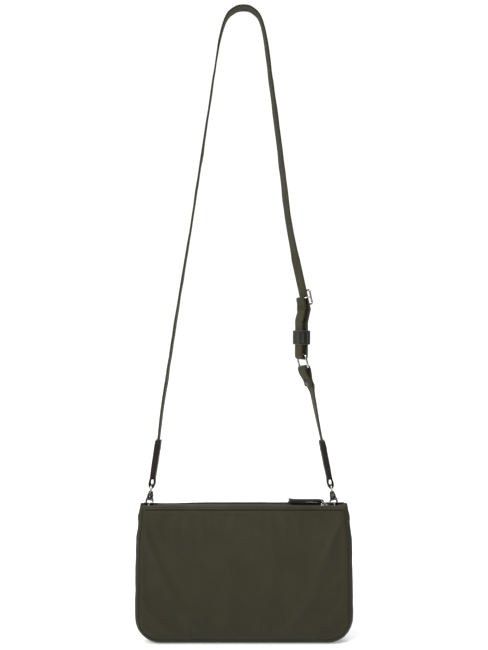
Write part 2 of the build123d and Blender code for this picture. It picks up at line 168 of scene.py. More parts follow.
def smooth_curve(points, steps):
    """Catmull-Rom through vectors, with the given number of steps between two."""
    points = [Vector(p) for p in points]
    last = len(points) - 1
    result = []
    for i in range(last):
        before, start, end = points[max(i - 1, 0)], points[i], points[i + 1]
        after = points[min(i + 2, last)]
        for k in range(steps):
            t = k / steps
            result.append(
                before * ((-t + 2 * t**2 - t**3) / 2)
                + start * ((2 - 5 * t**2 + 3 * t**3) / 2)
                + end * ((t + 4 * t**2 - 3 * t**3) / 2)
                + after * ((t**3 - t**2) / 2)
            )
    result.append(points[-1])
    return result


def smooth_stations(stations, steps):
    """The same curve through stations, for their places and their width directions."""
    places = smooth_curve([s[0] for s in stations], steps)
    widths = smooth_curve([s[1] for s in stations], steps)
    return list(zip(places, widths))


def turn_stations(local, radius, up, first_angle, last_angle, across=0.0, steps=12):
    """Stations round a fold whose centre is up the frame."""
    angles = [radians(first_angle + (last_angle - first_angle) * k / steps) for k in range(steps + 1)]
    return [station(local, across + radius * cos(a), up + radius * sin(a)) for a in angles]


def reached_lengths(places):
    """The length of the line reached at each of its points."""
    steps = np.linalg.norm(np.diff(places, axis=0), axis=1)
    return np.concatenate([[0.0], np.cumsum(steps)])


def at_lengths(wanted, reached, values):
    """The three values of each point, read off at the wanted lengths."""
    return np.array([np.interp(wanted, reached, values[:, k]) for k in range(3)]).T


def even_stations(stations, step):
    """Places, widths and lengths a fixed step apart along the line, and the line's whole length."""
    places = np.array([s[0] for s in stations], float)
    widths = np.array([s[1] for s in stations], float)
    reached = reached_lengths(places)
    count = max(int(reached[-1] / step), 4)
    wanted = np.linspace(0.0, reached[-1], count + 1)
    return at_lengths(wanted, reached, places), at_lengths(wanted, reached, widths), wanted, reached[-1]


# ---------------------------------------------------------------- mesh making
class Builder:
    """Gathers vertices, faces and UVs in millimetres and makes one mesh object of them, in metres."""

    def __init__(self):
        self.points = []
        self.faces = []
        self.uvs = []

    def add(self, points, faces, uvs=None):
        start = len(self.points)
        self.points += [tuple(p) for p in points]
        self.faces += [tuple(i + start for i in f) for f in faces]
        self.uvs += [tuple(u) for u in uvs] if uvs is not None else [(p[0], p[2]) for p in points]

    def object(self, name, local=None):
        mesh = bpy.data.meshes.new(name)
        points = [Vector(p) for p in self.points]
        if local is not None:
            points = [local @ p for p in points]
        mesh.from_pydata([p * MM for p in points], [], self.faces)
        layer = mesh.uv_layers.new(name="UVMap")
        corners = np.array([self.uvs[v.vertex_index] for v in mesh.loops], float) * MM
        layer.data.foreach_set("uv", corners.astype(np.float32).ravel())
        mesh.validate()
        mesh.shade_smooth()
        made = bpy.data.objects.new(name, mesh)
        bpy.context.scene.collection.objects.link(made)
        return made


def loft_faces(count, sides, closed=False, shift=0):
    """Quads between rings of points, closed with the last ring turned by shift, or with two end caps."""
    faces = []
    for i in range(count if closed else count - 1):
        a, b = i * sides, ((i + 1) % count) * sides
        turned = shift if i == count - 1 else 0
        for k in range(sides):
            n = (k + 1) % sides
            faces.append((a + k, a + n, b + (n + turned) % sides, b + (k + turned) % sides))
    if not closed:
        faces.append(tuple(range(sides))[::-1])
        faces.append(tuple(range((count - 1) * sides, count * sides)))
    return faces


def grid_faces(lines, length, turned):
    """Quads between neighbouring lines of points; turned faces the other way."""
    faces = []
    for j in range(lines - 1):
        for i in range(length - 1):
            a, b = j * length + i, (j + 1) * length + i
            faces.append((a, b, b + 1, a + 1) if turned else (a, a + 1, b + 1, b))
    return faces


def neighbours(line, i, closed):
    """The points before and after one point of a line."""
    last = len(line) - 1
    before = line[i - 1] if closed or i else line[0]
    after = line[(i + 1) % len(line)] if closed or i < last else line[last]
    return before, after


def tube(builder, path, radius, sides=12, closed=False):
    """A round tube along points; the radius is one number or one for each point."""
    path = [Vector(p) for p in path]
    count = len(path)
    radii = radius if hasattr(radius, "__len__") else [radius] * count
    normal = None
    points, uvs = [], []
    reached = 0.0
    for i, here in enumerate(path):
        before, after = neighbours(path, i, closed)
        along = (after - before).normalized()
        if normal is None:
            normal = along.orthogonal().normalized()
        normal = (normal - along * normal.dot(along)).normalized()
        binormal = along.cross(normal)
        reached += (here - path[i - 1]).length if i else 0.0
        for k in range(sides):
            angle = 2 * pi * k / sides
            points.append(here + (normal * cos(angle) + binormal * sin(angle)) * radii[i])
            uvs.append((radii[i] * angle, reached))
    shift = 0
    if closed:
        gaps = [(points[-sides] - points[k]).length for k in range(sides)]
        shift = gaps.index(min(gaps))
    builder.add(points, loft_faces(count, sides, closed, shift), uvs)


def lathe(builder, profile, local=None, segments=32):
    """A solid turned about local z from (radius, height) points, listed from bottom to top."""
    local = local or Matrix.Identity(4)
    points, uvs = [], []
    for radius, height in profile:
        for k in range(segments):
            angle = 2 * pi * k / segments
            points.append(local @ Vector((radius * cos(angle), radius * sin(angle), height)))
            uvs.append((radius * angle, height))
    builder.add(points, loft_faces(len(profile), segments), uvs)


def block(builder, centre, size):
    """A box, used only inside castings that are remeshed."""
    corners = [
        Vector(centre) + Vector((x * size[0], y * size[1], z * size[2])) / 2
        for x in (-1, 1)
        for y in (-1, 1)
        for z in (-1, 1)
    ]
    faces = [(0, 1, 3, 2), (4, 6, 7, 5), (0, 4, 5, 1), (2, 3, 7, 6), (0, 2, 6, 4), (1, 5, 7, 3)]
    builder.add(corners, faces)


def ribbon_section(width, thick, flats, rounds=4):
    """Points round a flat section with rounded long edges: across, through."""
    r = thick / 2
    half = width / 2 - r
    top = [(-half + 2 * half * k / flats, r) for k in range(flats + 1)]
    right = [(half + r * sin(pi * k / rounds), r * cos(pi * k / rounds)) for k in range(1, rounds)]
    return top + right + [(-a, -n) for a, n in top] + [(-a, -n) for a, n in right]


def ribbon(builder, stations, width, thick, step, flats=6, rib=0.0, rib_pitch=1.6, closed=False):
    """A flat strip along stations. The width is a number or a function of the length reached."""
    places, widths, reached, length = even_stations(stations, step)
    if closed:
        places, widths, reached = places[:-1], widths[:-1], reached[:-1]
    count = len(places)
    points, uvs = [], []
    for i in range(count):
        before, after = neighbours(places, i, closed)
        along = Vector(after - before).normalized()
        across = Vector(widths[i])
        across = (across - along * across.dot(along)).normalized()
        through = along.cross(across)
        local_width = width(reached[i]) if callable(width) else width
        ridge = rib * sin(2 * pi * reached[i] / rib_pitch)
        section = ribbon_section(local_width, thick + 2 * ridge, flats)
        for a, n in section:
            points.append(Vector(places[i]) + across * a + through * n)
            uvs.append((a, reached[i]))
    builder.add(points, loft_faces(count, len(section), closed), uvs)
    return length


def stitch_row(builder, path, radius=0.3, stitch=2.5, gap=0.9, lift=0.12):
    """Short rounded threads along points, each sunk a little at its ends."""
    places = np.array([tuple(p) for p in path], float)
    reached = reached_lengths(places)
    count = int(reached[-1] / (stitch + gap))
    spare = (reached[-1] - count * (stitch + gap) + gap) / 2
    for i in range(count):
        start = spare + i * (stitch + gap)
        at = [start + stitch * t for t in (0.0, 0.12, 0.5, 0.88, 1.0)]
        radii = [radius * f for f in (0.45, 0.9, 1.0, 0.9, 0.45)]
        tube(builder, at_lengths(at, reached, places), radii, 6)


def dress(made, material, slot, nodes):
    """Gives a piece its material and hides the CAD nodes it stands for."""
    made.data.materials.clear()
    made.data.materials.append(material)
    if nodes:
        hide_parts(*nodes)
    return made


def finish_object(made, body, material, slot, nodes=()):
    """Finishes a piece that rides on one body."""
    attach(made, body)
    return dress(made, material, slot, nodes)


def bend_object(made, ends, material, slot, nodes=()):
    """Finishes a piece that lies between two bodies, its place baked into its mesh."""
    Vector(ends[0]) * MM
    Vector(ends[1]) * MM
    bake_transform(made)
    return dress(made, material, slot, nodes)


def apply_modifiers(made):
    """Turns what the modifiers show into the piece's own mesh."""
    graph = bpy.context.evaluated_depsgraph_get()
    graph.update()
    mesh = bpy.data.meshes.new_from_object(made.evaluated_get(graph), depsgraph=graph)
    made.modifiers.clear()
    made.data = mesh
    mesh.shade_smooth()
    return made


def stitches(name, rows, body, slot, **shape):
    """Rows of dark stitches, darker still with painted shade, as one piece."""
    seams = Builder()
    for row in rows:
        stitch_row(seams, row, **shape)
    finish_object(seams.object(name), body, shaded_thread, slot)


def thicken(made, thick, offset=-1.0):
    """Turns a surface into cloth of the given thickness, below the surface or about its middle."""
    solid = made.modifiers.new("thick", "SOLIDIFY")
    solid.thickness = thick * MM
    solid.offset = offset
    return apply_modifiers(made)


def cloth_grid(name, rows, columns, place, turned, thick, offset=-1.0):
    """A thick cloth surface from place(row, column), which gives a point and its UV."""
    placed = [place(j, i) for j in range(rows) for i in range(columns)]
    builder = Builder()
    builder.add([p for p, uv in placed], grid_faces(rows, columns, turned), [uv for p, uv in placed])
    return thicken(builder.object(name), thick, offset)


def casting(builder, name, local, voxel, rounds=5):
    """Overlapping solids melted into one smooth cast piece."""
    made = builder.object(name, local)
    remesh = made.modifiers.new("melt", "REMESH")
    remesh.mode = "VOXEL"
    remesh.voxel_size = voxel * MM
    smooth = made.modifiers.new("soften", "SMOOTH")
    smooth.iterations = rounds
    smooth.factor = 0.5
    return apply_modifiers(made)


# ---------------------------------------------------------------- materials
def add_node(tree, kind, links=(), **values):
    """A shader node with its input values and its (input, output socket) links."""
    made = tree.nodes.new("ShaderNode" + kind)
    for name, value in values.items():
        made.inputs[name.replace("_", " ")].default_value = value
    for name, source in links:
        tree.links.new(source, made.inputs[name])
    return made


def mixed_colour(tree, factor, first, second):
    mix = tree.nodes.new("ShaderNodeMix")
    mix.data_type = "RGBA"
    mix.inputs["A"].default_value = (*first, 1.0)
    mix.inputs["B"].default_value = (*second, 1.0)
    tree.links.new(factor, mix.inputs["Factor"])
    return mix.outputs["Result"]


def material(name, dark, light, rough, specular, metallic=0.0, mottle=30.0):
    """A mottled surface; returns what its makers add detail to."""
    made = bpy.data.materials.new(name)
    made.use_nodes = True
    tree = made.node_tree
    shader = tree.nodes["Principled BSDF"]
    shader.inputs["Specular IOR Level"].default_value = specular
    shader.inputs["Metallic"].default_value = metallic
    place = tree.nodes.new("ShaderNodeTexCoord")
    object_place = [("Vector", place.outputs["Object"])]
    clouds = add_node(tree, "TexNoise", object_place, Scale=mottle, Detail=5.0)
    spread = add_node(tree, "MapRange", [("Value", clouds.outputs["Fac"])], From_Min=0.32, From_Max=0.68)
    colour = mixed_colour(tree, spread.outputs["Result"], dark, light)
    tree.links.new(colour, shader.inputs["Base Color"])
    fine = add_node(tree, "TexNoise", object_place, Scale=900.0, Detail=3.0)
    roughness = add_node(
        tree, "MapRange", [("Value", fine.outputs["Fac"])],
        From_Min=0.3, From_Max=0.7, To_Min=rough[0], To_Max=rough[1],
    )
    tree.links.new(roughness.outputs["Result"], shader.inputs["Roughness"])
    return made, tree, shader, place, fine.outputs["Fac"], colour


def add_maths(tree, operation, first, second):
    node = tree.nodes.new("ShaderNodeMath")
    node.operation = operation
    tree.links.new(first, node.inputs[0])
    tree.links.new(second, node.inputs[1])
    return node.outputs["Value"]


def add_bump(tree, shader, height, strength, distance):
    bump = add_node(tree, "Bump", [("Height", height)], Strength=strength, Distance=distance)
    tree.links.new(bump.outputs["Normal"], shader.inputs["Normal"])


def paint_shade_in_hollows(tree, shader, colour, height, darkest, lightest):
    """Painted shade: darkens the colour where the height is low, in the hollows."""
    depth = add_node(tree, "MapRange", [("Value", height)], To_Min=darkest, To_Max=lightest)
    shade = tree.nodes.new("ShaderNodeMix")
    shade.data_type = "RGBA"
    shade.blend_type = "MULTIPLY"
    shade.inputs["Factor"].default_value = 1.0
    tree.links.new(colour, shade.inputs["A"])
    tree.links.new(depth.outputs["Result"], shade.inputs["B"])
    tree.links.new(shade.outputs["Result"], shader.inputs["Base Color"])


def thread_wave(tree, place, direction, pitch):
    """Ridges a pitch apart (in metres) along X or Y of the piece's own UV metres."""
    wave = add_node(
        tree, "TexWave", [("Vector", place.outputs["UV"])],
        Scale=2 * pi / (20.0 * pitch), Distortion=0.6, Detail=1.0,
    )
    wave.wave_type = "BANDS"
    wave.bands_direction = direction
    return wave.outputs["Fac"]


def woven(name, dark, light, rough, pitch, strength, specular=0.3):
    """A plain weave: ridges both ways, with painted shade between the threads."""
    made, tree, shader, place, fine, colour = material(name, dark, light, rough, specular)
    warp = thread_wave(tree, place, "X", pitch)
    weft = thread_wave(tree, place, "Y", pitch * 1.15)
    weave = add_maths(tree, "MULTIPLY", warp, weft)
    add_bump(tree, shader, add_maths(tree, "ADD", weave, fine), strength, 0.00012)
    paint_shade_in_hollows(tree, shader, colour, weave, 0.82, 1.12)
    return made


def grained(name, dark, light, rough, cell, strength, specular):
    """Leather: small pebbles with painted shade in the creases, and slow mottling."""
    made, tree, shader, place, fine, colour = material(name, dark, light, rough, specular, mottle=120.0)
    cells = add_node(tree, "TexVoronoi", [("Vector", place.outputs["Object"])], Scale=1.0 / cell)
    cells.feature = "DISTANCE_TO_EDGE"
    pebble = add_node(tree, "MapRange", [("Value", cells.outputs["Distance"])], From_Max=0.22)
    pebble = pebble.outputs["Result"]
    add_bump(tree, shader, add_maths(tree, "ADD", pebble, fine), strength, 0.00015)
    paint_shade_in_hollows(tree, shader, colour, pebble, 0.7, 1.05)
    return made


def plain(name, dark, light, rough, specular=0.5, metallic=0.0):
    """Metal, plastic or thread with fine marks."""
    made, tree, shader, place, fine, colour = material(name, dark, light, rough, specular, metallic, 200.0)
    add_bump(tree, shader, fine, 0.2, 0.00003)
    return made


shell_cloth = woven(
    "shell_nylon", (0.0215, 0.0200, 0.0092), (0.0250, 0.0233, 0.0108),
    (0.45, 0.62), 0.0006, 0.35, specular=0.16
)
# Painted light: the band is the shell's nylon painted lighter, as if lit from above; the ring tabs and mouth
# tucks share it.
band_cloth_painted_lighter = woven(
    "band_nylon_painted_lighter", (0.028, 0.0262, 0.0150), (0.037, 0.0348, 0.0205), (0.45, 0.62), 0.0006, 0.35, specular=0.16
)
lining_cloth = woven("lining_satin", (0.020, 0.019, 0.015), (0.028, 0.027, 0.021), (0.3, 0.45), 0.0004, 0.2)
strap_cloth = woven(
    "webbing_nylon", (0.022, 0.0208, 0.0090), (0.033, 0.0312, 0.0145), (0.5, 0.7), 0.0009, 0.6, specular=0.12
)
tape_cloth = woven("zip_tape_weave", (0.008, 0.0075, 0.005), (0.012, 0.0115, 0.008), (0.6, 0.8), 0.0005, 0.5)
dark_leather = grained(
    "dark_leather", (0.0072, 0.0053, 0.0045), (0.0120, 0.0092, 0.0080),
    (0.45, 0.6), 0.0009, 0.35, specular=0.14
)
# Near-black stitching: partly its own dark colour, partly painted shade of the grooves the stitches sit in.
shaded_thread = plain("thread_with_painted_shade", (0.0022, 0.0021, 0.0014), (0.0045, 0.0042, 0.0028), (0.5, 0.7), specular=0.08)
olive_leather = grained(
    "olive_leather", (0.0085, 0.0085, 0.0058), (0.0145, 0.0143, 0.0100),
    (0.42, 0.58), 0.0009, 0.35, specular=0.12
)
# Pale thread for the keeper's stitches, also used for its painted edge highlights.
pale_thread_and_edge_highlight = plain("pale_thread_and_painted_highlight", (0.045, 0.043, 0.036), (0.075, 0.072, 0.062), (0.4, 0.55), specular=0.3)
nickel = plain("polished_nickel", (0.28, 0.275, 0.265), (0.46, 0.45, 0.435), (0.08, 0.18), metallic=1.0)
# Painted shade: a darker copy of the nickel for the hook bodies, pins and springs, standing for the dark
# reflections on them.
clip_nickel_painted_dark = plain("nickel_painted_dark", (0.035, 0.034, 0.032), (0.13, 0.127, 0.122), (0.05, 0.16), metallic=1.0)
rivet_metal = plain("dark_rivet", (0.05, 0.047, 0.043), (0.09, 0.085, 0.08), (0.25, 0.4), metallic=1.0)
coil_plastic = plain("zip_coil_plastic", (0.012, 0.012, 0.009), (0.020, 0.019, 0.015), (0.3, 0.45), 0.3)


# ---------------------------------------------------------------- strap
def end_stations(side, ups):
    return [station(side_frame[side], 0, up) for up in ups]


def wavering(one):
    """A station with the slight waves webbing keeps from being folded, none near the fittings."""
    place, across = one
    free = clamped((-place.z - 6.0) / 40.0)
    free *= clamped((440.0 + place.z) / 30.0) if place.x < 0 else clamped((262.0 + place.z) / 40.0)
    shift = 0.42 * ripple(0, place.x, place.z, 17.0, 5.2)
    turned = across + Vector((0.05 * ripple(0, place.x, place.z, 23.0, 9.1), 0, 0)) * free
    return place + Vector((shift * free, 0, 0)), turned


def upper_webbing():
    """The long run, through the slider and the keeper, round the ring and up into the keeper."""
    upper = route_stations(left_strap_route + right_strap_route)
    through_slider = [station(slider_frame, 0, up) for up in (44.0, 36.0, 10.0, -10.0, -13.0)]
    into_keeper = [station(adjuster_frame, strand_offset, up) for up in (17.0, 12.0, -12.0)]
    stations = end_stations("left", (webbing_end_up, leather_top))
    run = end_stations("left", (leather_top + 3.0,)) + upper + through_slider + into_keeper
    stations += [wavering(s) for s in smooth_stations(run, 12)]
    stations += turn_stations(adjuster_frame, strand_offset, upper_turn_up, 0, -180)
    stations += [station(adjuster_frame, -strand_offset, up) for up in (0.0, 3.0)]
    inside = leather_top - webbing_end_up - 2.0

    def width(reached):
        return webbing_width - webbing_taper * clamped((inside - reached) / 3.0)

    builder = Builder()
    length = ribbon(builder, stations, width, webbing_thick, 0.6, rib=0.025, rib_pitch=2.4)
    made = finish_object(builder.object("strap_webbing"), "strap", strap_cloth, "webbing", ["strap_main"])


def tail_webbing():
    """The strap's sewn end: out of the keeper, up to the slider and round its centre bar."""
    bar = centre_bar_n
    around = slider_bar_radius + 0.1 + tail_thick / 2
    loop = [
        (bar - 4.3, -15.0),
        (bar - 2.9, -9.0),
        (bar - 1.8, -4.4),
        (bar - around, -0.4),
        (bar - 0.7 * around, 0.8 * around),
        (bar, around + 0.05),
        (bar + 0.7 * around, 0.7 * around),
        (bar + around, 0.0),
        (bar + 0.55 * around, -around),
        (bar - 0.3, -3.6),
        (bar - 1.3, -8.0),
        (bar - 2.4, -12.5),
    ]
    stations = [station(adjuster_frame, -strand_offset, up) for up in (3.0, 8.0, 13.0, 19.0)]
    stations += [station(slider_frame, across, up) for across, up in loop]
    builder = Builder()
    length = ribbon(builder, smooth_stations(stations, 8), webbing_width, tail_thick, 0.4, rib=0.05)
    made = builder.object("strap_tail")
    ends = [station(adjuster_frame, -strand_offset, 5.0)[0], station(slider_frame, bar, -13.0)[0]]
    bend_object(made, ends, strap_cloth, "webbing", ["strap_tail_loop"])
    rows = [
        in_frame(slider_frame, [(across, y, up) for y in (-8.0, 0.0, 8.0)])
        for across, up in ((bar - 3.4, -8.0), (bar - 4.1, -11.0))
    ]
    stitches("strap_tail_stitches", rows, "strap_slider", "webbing")


def lower_webbing():
    """The short webbing folded over the ring's lower bar, riveted, and held in the right leather end."""
    fold_radius = ring_bar_radius + 0.9 + webbing_thick / 2
    fold_up = -0.6
    layer = webbing_thick / 2 + 0.05
    stations = [station(lower_frame, -layer, up) for up in (-20.4, -17.5, -13.5)]
    stations.append(station(lower_frame, -fold_radius * 0.93, -5.0))
    stations += turn_stations(lower_frame, fold_radius, fold_up, 172, 8)
    stations.append(station(lower_frame, fold_radius * 0.93, -5.0))
    stations += [station(lower_frame, layer, up) for up in (-13.5, -18.0, -21.5)]
    stations += route_stations(lower_strap_route)
    stations += end_stations("right", (leather_top + 3.0, leather_top, 50.0, webbing_end_up))
    smooth = smooth_stations(stations, 6)
    inside = even_stations(smooth, 1.0)[3] - (leather_top - webbing_end_up - 2.0)

    def width(reached):
        return webbing_width - webbing_taper * clamped((reached - inside) / 3.0)

    builder = Builder()
    length = ribbon(builder, smooth, width, webbing_thick, 0.4, rib=0.05)
    made = finish_object(builder.object("lower_webbing"), "strap", strap_cloth, "webbing", ["lower_strap"])
    face = -2 * layer - 0.05
    rows = [in_frame(lower_frame, [(face, y, up) for y in (-8.0, 0.0, 8.0)]) for up in (-11.5, -13.0)]
    stitches("lower_strap_stitches", rows, "strap", "webbing")


def rivet(name, local, half_stack, nodes):
    """Domed heads on both sides of a strap; the shaft runs between them."""
    builder = Builder()
    head = [(0.4, 0.95), (1.4, 0.86), (2.3, 0.62), (2.85, 0.3), (3.0, 0.0), (2.9, -0.16), (0.4, -0.16)]
    for sign in (-1, 1):
        turn = Matrix.Rotation(radians(90 * sign), 4, "Y")
        lathe(builder, head[::-1], Matrix.Translation((sign * half_stack, 0, 0)) @ turn)
    tube(builder, [(-half_stack, 0, 0), (half_stack, 0, 0)], 1.3, 16)
    finish_object(builder.object(name, local), "strap", rivet_metal, "dark_metal", nodes)


leather_leg = webbing_thick / 2 + leather_thick / 2


def leather_strip(side):
    """One strip folded round the clip's eye."""
    def width(reached):
        share = clamped((abs(reached - fold_at) - 7.0) / 12.0)
        return 11.2 + (leather_width - 11.2) * share * share * (3 - 2 * share)

    half_path = [(leather_leg, up) for up in (leather_top, 60.0, 48.0, 38.0, 31.5)]
    half_path += [(2.15, 28.2), (2.6, 25.2), (2.6, 22.2), (1.75, 19.4), (0.0, 18.5)]
    path = [(-x, up) for x, up in half_path] + half_path[-2::-1]
    stations = smooth_stations([station(side_frame[side], x, up) for x, up in path], 8)
    fold_at = even_stations(stations, 1.0)[3] / 2
    builder = Builder()
    length = ribbon(builder, stations, width, leather_thick, 0.7, flats=8)
    made = builder.object(side + "_leather_strip")
    finish_object(made, "strap", dark_leather, "leather", [side + "_leather_end"])


def leather_trim(side):
    """The strip's stitches along three edges, its painted long edges, and its rivet."""
    local = side_frame[side]
    outer = webbing_thick / 2 + leather_thick + 0.02
    rows = []
    for x in (-outer, outer):
        for y in (2.0 - leather_width / 2, leather_width / 2 - 2.0):
            rows.append(in_frame(local, [(x, y, up) for up in (38.0, 54.0, 69.0)]))
        rows.append(in_frame(local, [(x, y, 69.2) for y in (-7.4, 0.0, 7.4)]))
    stitches(side + "_leather_stitches", rows, "strap", "leather", radius=0.28, stitch=2.4, gap=0.8)
    edges = Builder()
    across = local.to_3x3() @ Vector((1, 0, 0))
    for y in (0.25 - leather_width / 2, leather_width / 2 - 0.25):
        line = [(local @ Vector((0, y, up)), across) for up in (30.5, 44.0, 58.0, leather_top - 0.3)]
        ribbon(edges, line, lambda reached: 5.0 + 0.3 * clamped(reached / 8.0), 0.9, 0.8, flats=4)
    finish_object(edges.object(side + "_leather_edges"), "strap", dark_leather, "leather")
    rivet_frame = local @ Matrix.Translation((0, 0, end_rivet_up - 4.0))
    rivet(side + "_rivet_heads", rivet_frame, webbing_thick / 2 + leather_thick, [side + "_end_rivet"])


def keeper_loop():
    """The leather loop round both strands, its ends butted and sewn on the left face."""
    wall, height = 1.6, 15.0
    half_x = (2 * strand_offset + webbing_thick + 1.6) / 2 + wall / 2
    half_y = (webbing_width + 1.0) / 2 + wall / 2
    outline = rounded_loop(half_x, half_y, 2.4, 6)
    upward = adjuster_frame.to_3x3() @ Vector((0, 0, 1))
    stations = [(adjuster_frame @ Vector((x, y, 0)), upward) for x, y in outline + outline[:1]]
    builder = Builder()
    length = ribbon(builder, stations, height, wall, 0.6, flats=8, closed=True)
    made = finish_object(builder.object("keeper_loop"), "keeper", olive_leather, "leather", ["keeper"])
    seams = Builder()
    front, left = -half_y - wall / 2, -half_x - wall / 2
    for x, y in ((-3.2, front), (2.4, front), (left, -6.0), (left, 6.0)):
        row = in_frame(adjuster_frame, [(x, y, up) for up in (-6.8, 0.0, 6.8)])
        stitch_row(seams, row, radius=0.4, stitch=1.9, gap=0.4)
    # Pale tubes round the top and bottom edges: painted highlights on the keeper's rounded edges.
    for up in (0.15 - height / 2, height / 2 - 0.15):
        edge = in_frame(adjuster_frame, [(x * 1.005, y * 1.005, up) for x, y in outline])
        tube(seams, edge, 0.42, 8, closed=True)
    finish_object(seams.object("keeper_stitches_and_highlights"), "keeper", pale_thread_and_edge_highlight, "leather")


def rounded_loop(half_a, half_b, corner, steps=8):
    """A closed rounded rectangle as (a, b) points."""
    points = []
    for sign_a, sign_b, start in ((1, 1, 0), (-1, 1, 90), (-1, -1, 180), (1, -1, 270)):
        for k in range(steps + 1):
            angle = radians(start + 90 * k / steps)
            a = sign_a * (half_a - corner) + corner * cos(angle)
            b = sign_b * (half_b - corner) + corner * sin(angle)
            points.append((a, b))
    return points


def ring_wire_piece():
    """The rectangular wire ring."""
    builder = Builder()
    half_up = ring_height / 2
    loop = [(0, y, up - half_up) for y, up in rounded_loop(ring_bar_y, half_up, 2.2)]
    tube(builder, loop, ring_bar_radius, 20, closed=True)
    finish_object(builder.object("ring_wire", ring_frame), "strap", nickel, "hardware", ["adjuster_ring"])


def slider_frame_piece():
    """The strap slider: straight rails and outer bars on one side, the cranked bar on the other."""
    builder = Builder()
    outer_up = slider_height / 2 - slider_bar_radius
    bar_y = webbing_width / 2 + 1.9
    crank_y = bar_y - 1.1
    loop = [(outer_bar_n, y, up) for y, up in rounded_loop(bar_y, outer_up, 1.4)]
    tube(builder, loop, slider_bar_radius + 0.2, 20, closed=True)
    half_crank = [(outer_bar_n, bar_y), (centre_bar_n + 1.6, crank_y + 0.4), (centre_bar_n, crank_y - 0.5)]
    half_crank.append((centre_bar_n, 4.0))
    crank = [(n, -y, 0) for n, y in half_crank] + [(n, y, 0) for n, y in half_crank[::-1]]
    tube(builder, crank, slider_bar_radius, 20)
    made = casting(builder, "slider_frame", slider_frame, 0.25, 3)
    finish_object(made, "strap_slider", nickel, "hardware", ["strap_slider"])


# ---------------------------------------------------------------- clips and D-rings
def clip_eye(side):
    """The wire eye, welded to a post with a riveted head inside the hook's body."""
    builder = Builder()
    loop = [(0, a, 18.75 + b) for a, b in rounded_loop(7.2, 2.35, 2.0)]
    tube(builder, loop, hook_wire, 16, closed=True)
    lathe(builder, [(1.0, 7.2), (1.7, 7.35), (1.9, 7.9), (1.5, 8.4), (1.15, 8.6), (1.15, 16.2), (1.5, 16.9)])
    made = builder.object(side + "_eye_wire", side_frame[side])
    finish_object(made, "strap", nickel, "hardware", [side + "_clip_eye"])


def clip_hook(side):
    """The cast body: a collar over a box with an open front, and the hook below it."""
    builder = Builder()
    lathe(builder, [(2.5, 9.0), (2.85, 9.5), (2.9, 12.4), (2.5, 13.6), (1.9, 14.0)])
    for x in (-2.8, 2.8):
        block(builder, (x, 0, 7.3), (1.4, 3.8, 5.4))
    block(builder, (0, 2.3, 7.3), (6.2, 0.6, 5.4))
    block(builder, (0, 0, 9.9), (6.6, 3.6, 1.2))
    block(builder, (0, 0, 5.0), (8.0, 4.2, 2.4))
    leg_x = -gate_side[side] * hook_half_width
    wire = [(leg_x, 0, 5.4), (leg_x, 0, 3.0)]
    wire += [
        (leg_x * cos(radians(a)), 0, hook_centre_up - hook_half_width * sin(radians(a)))
        for a in range(0, 181, 12)
    ]
    wire += [(-leg_x, 0, hook_centre_up + 1.3), (-leg_x, 0, hook_centre_up + 1.8)]
    tube(builder, wire, hook_wire, 16)
    made = casting(builder, side + "_hook_casting", side_frame[side], 0.22, 4)
    finish_object(made, side + "_clip", clip_nickel_painted_dark, "hardware", [side + "_clip_body"])


def clip_gate(side):
    """The sprung lever that closes the hook, with its thumb stud, and its pin and spring."""
    local, out = side_frame[side], gate_side[side]
    x = out * (hook_half_width - 0.2)
    lever = Builder()
    block(lever, (x + out * 0.1, 0, 3.7), (1.4, 2.0, 2.6))
    tube(lever, [(x, -1.1, 5.0), (x, 0, 5.0), (x, 1.1, 5.0)], 1.0, 14)
    tube(lever, [(x + out * 0.6, 0, 3.5), (x + out * 2.1, 0, 3.5)], [0.6, 0.75], 14)
    made = casting(lever, side + "_gate_lever", local, 0.18, 3)
    finish_object(made, side + "_gate", nickel, "hardware", [side + "_gate"])
    pin = Builder()
    turn = Matrix.Translation((x, 0, 5.0)) @ Matrix.Rotation(radians(90), 4, "X")
    lathe(pin, [(0.35, -2.5), (0.6, -2.35), (0.6, 2.35), (0.35, 2.5)], turn, 16)
    made = pin.object(side + "_pin", local)
    finish_object(made, side + "_clip", clip_nickel_painted_dark, "hardware", [side + "_gate_pin"])
    spring = Builder()
    angles = [2 * pi * k / 16 for k in range(49)]
    turns = [(x + 0.86 * cos(a), 0.36 * (a / (6 * pi) - 0.5) * 2, 5.0 + 0.86 * sin(a)) for a in angles]
    tube(spring, turns, 0.14, 8)
    made = spring.object(side + "_spring", local)
    finish_object(made, side + "_clip", clip_nickel_painted_dark, "hardware", [side + "_gate_spring"])


def d_ring(side):
    """The half-round wire ring."""
    builder = Builder()
    wire = [(0, 5 * cos(radians(a)), -5 + 5 * sin(radians(a))) for a in range(0, 181, 10)]
    corner = [(5.0, -6.0), (4.95, -7.2), (4.2, -7.95), (3.0, -8.0)]
    wire += [(0, -y, z) for y, z in corner] + [(0, y, z) for y, z in corner[::-1]]
    tube(builder, wire, ring_wire, 16, closed=True)
    made = builder.object(side + "_ring_wire", Matrix.Translation((contact_x[side], 0, contact_z)))
    finish_object(made, side + "_d_ring", nickel, "hardware", [side + "_d_ring"])


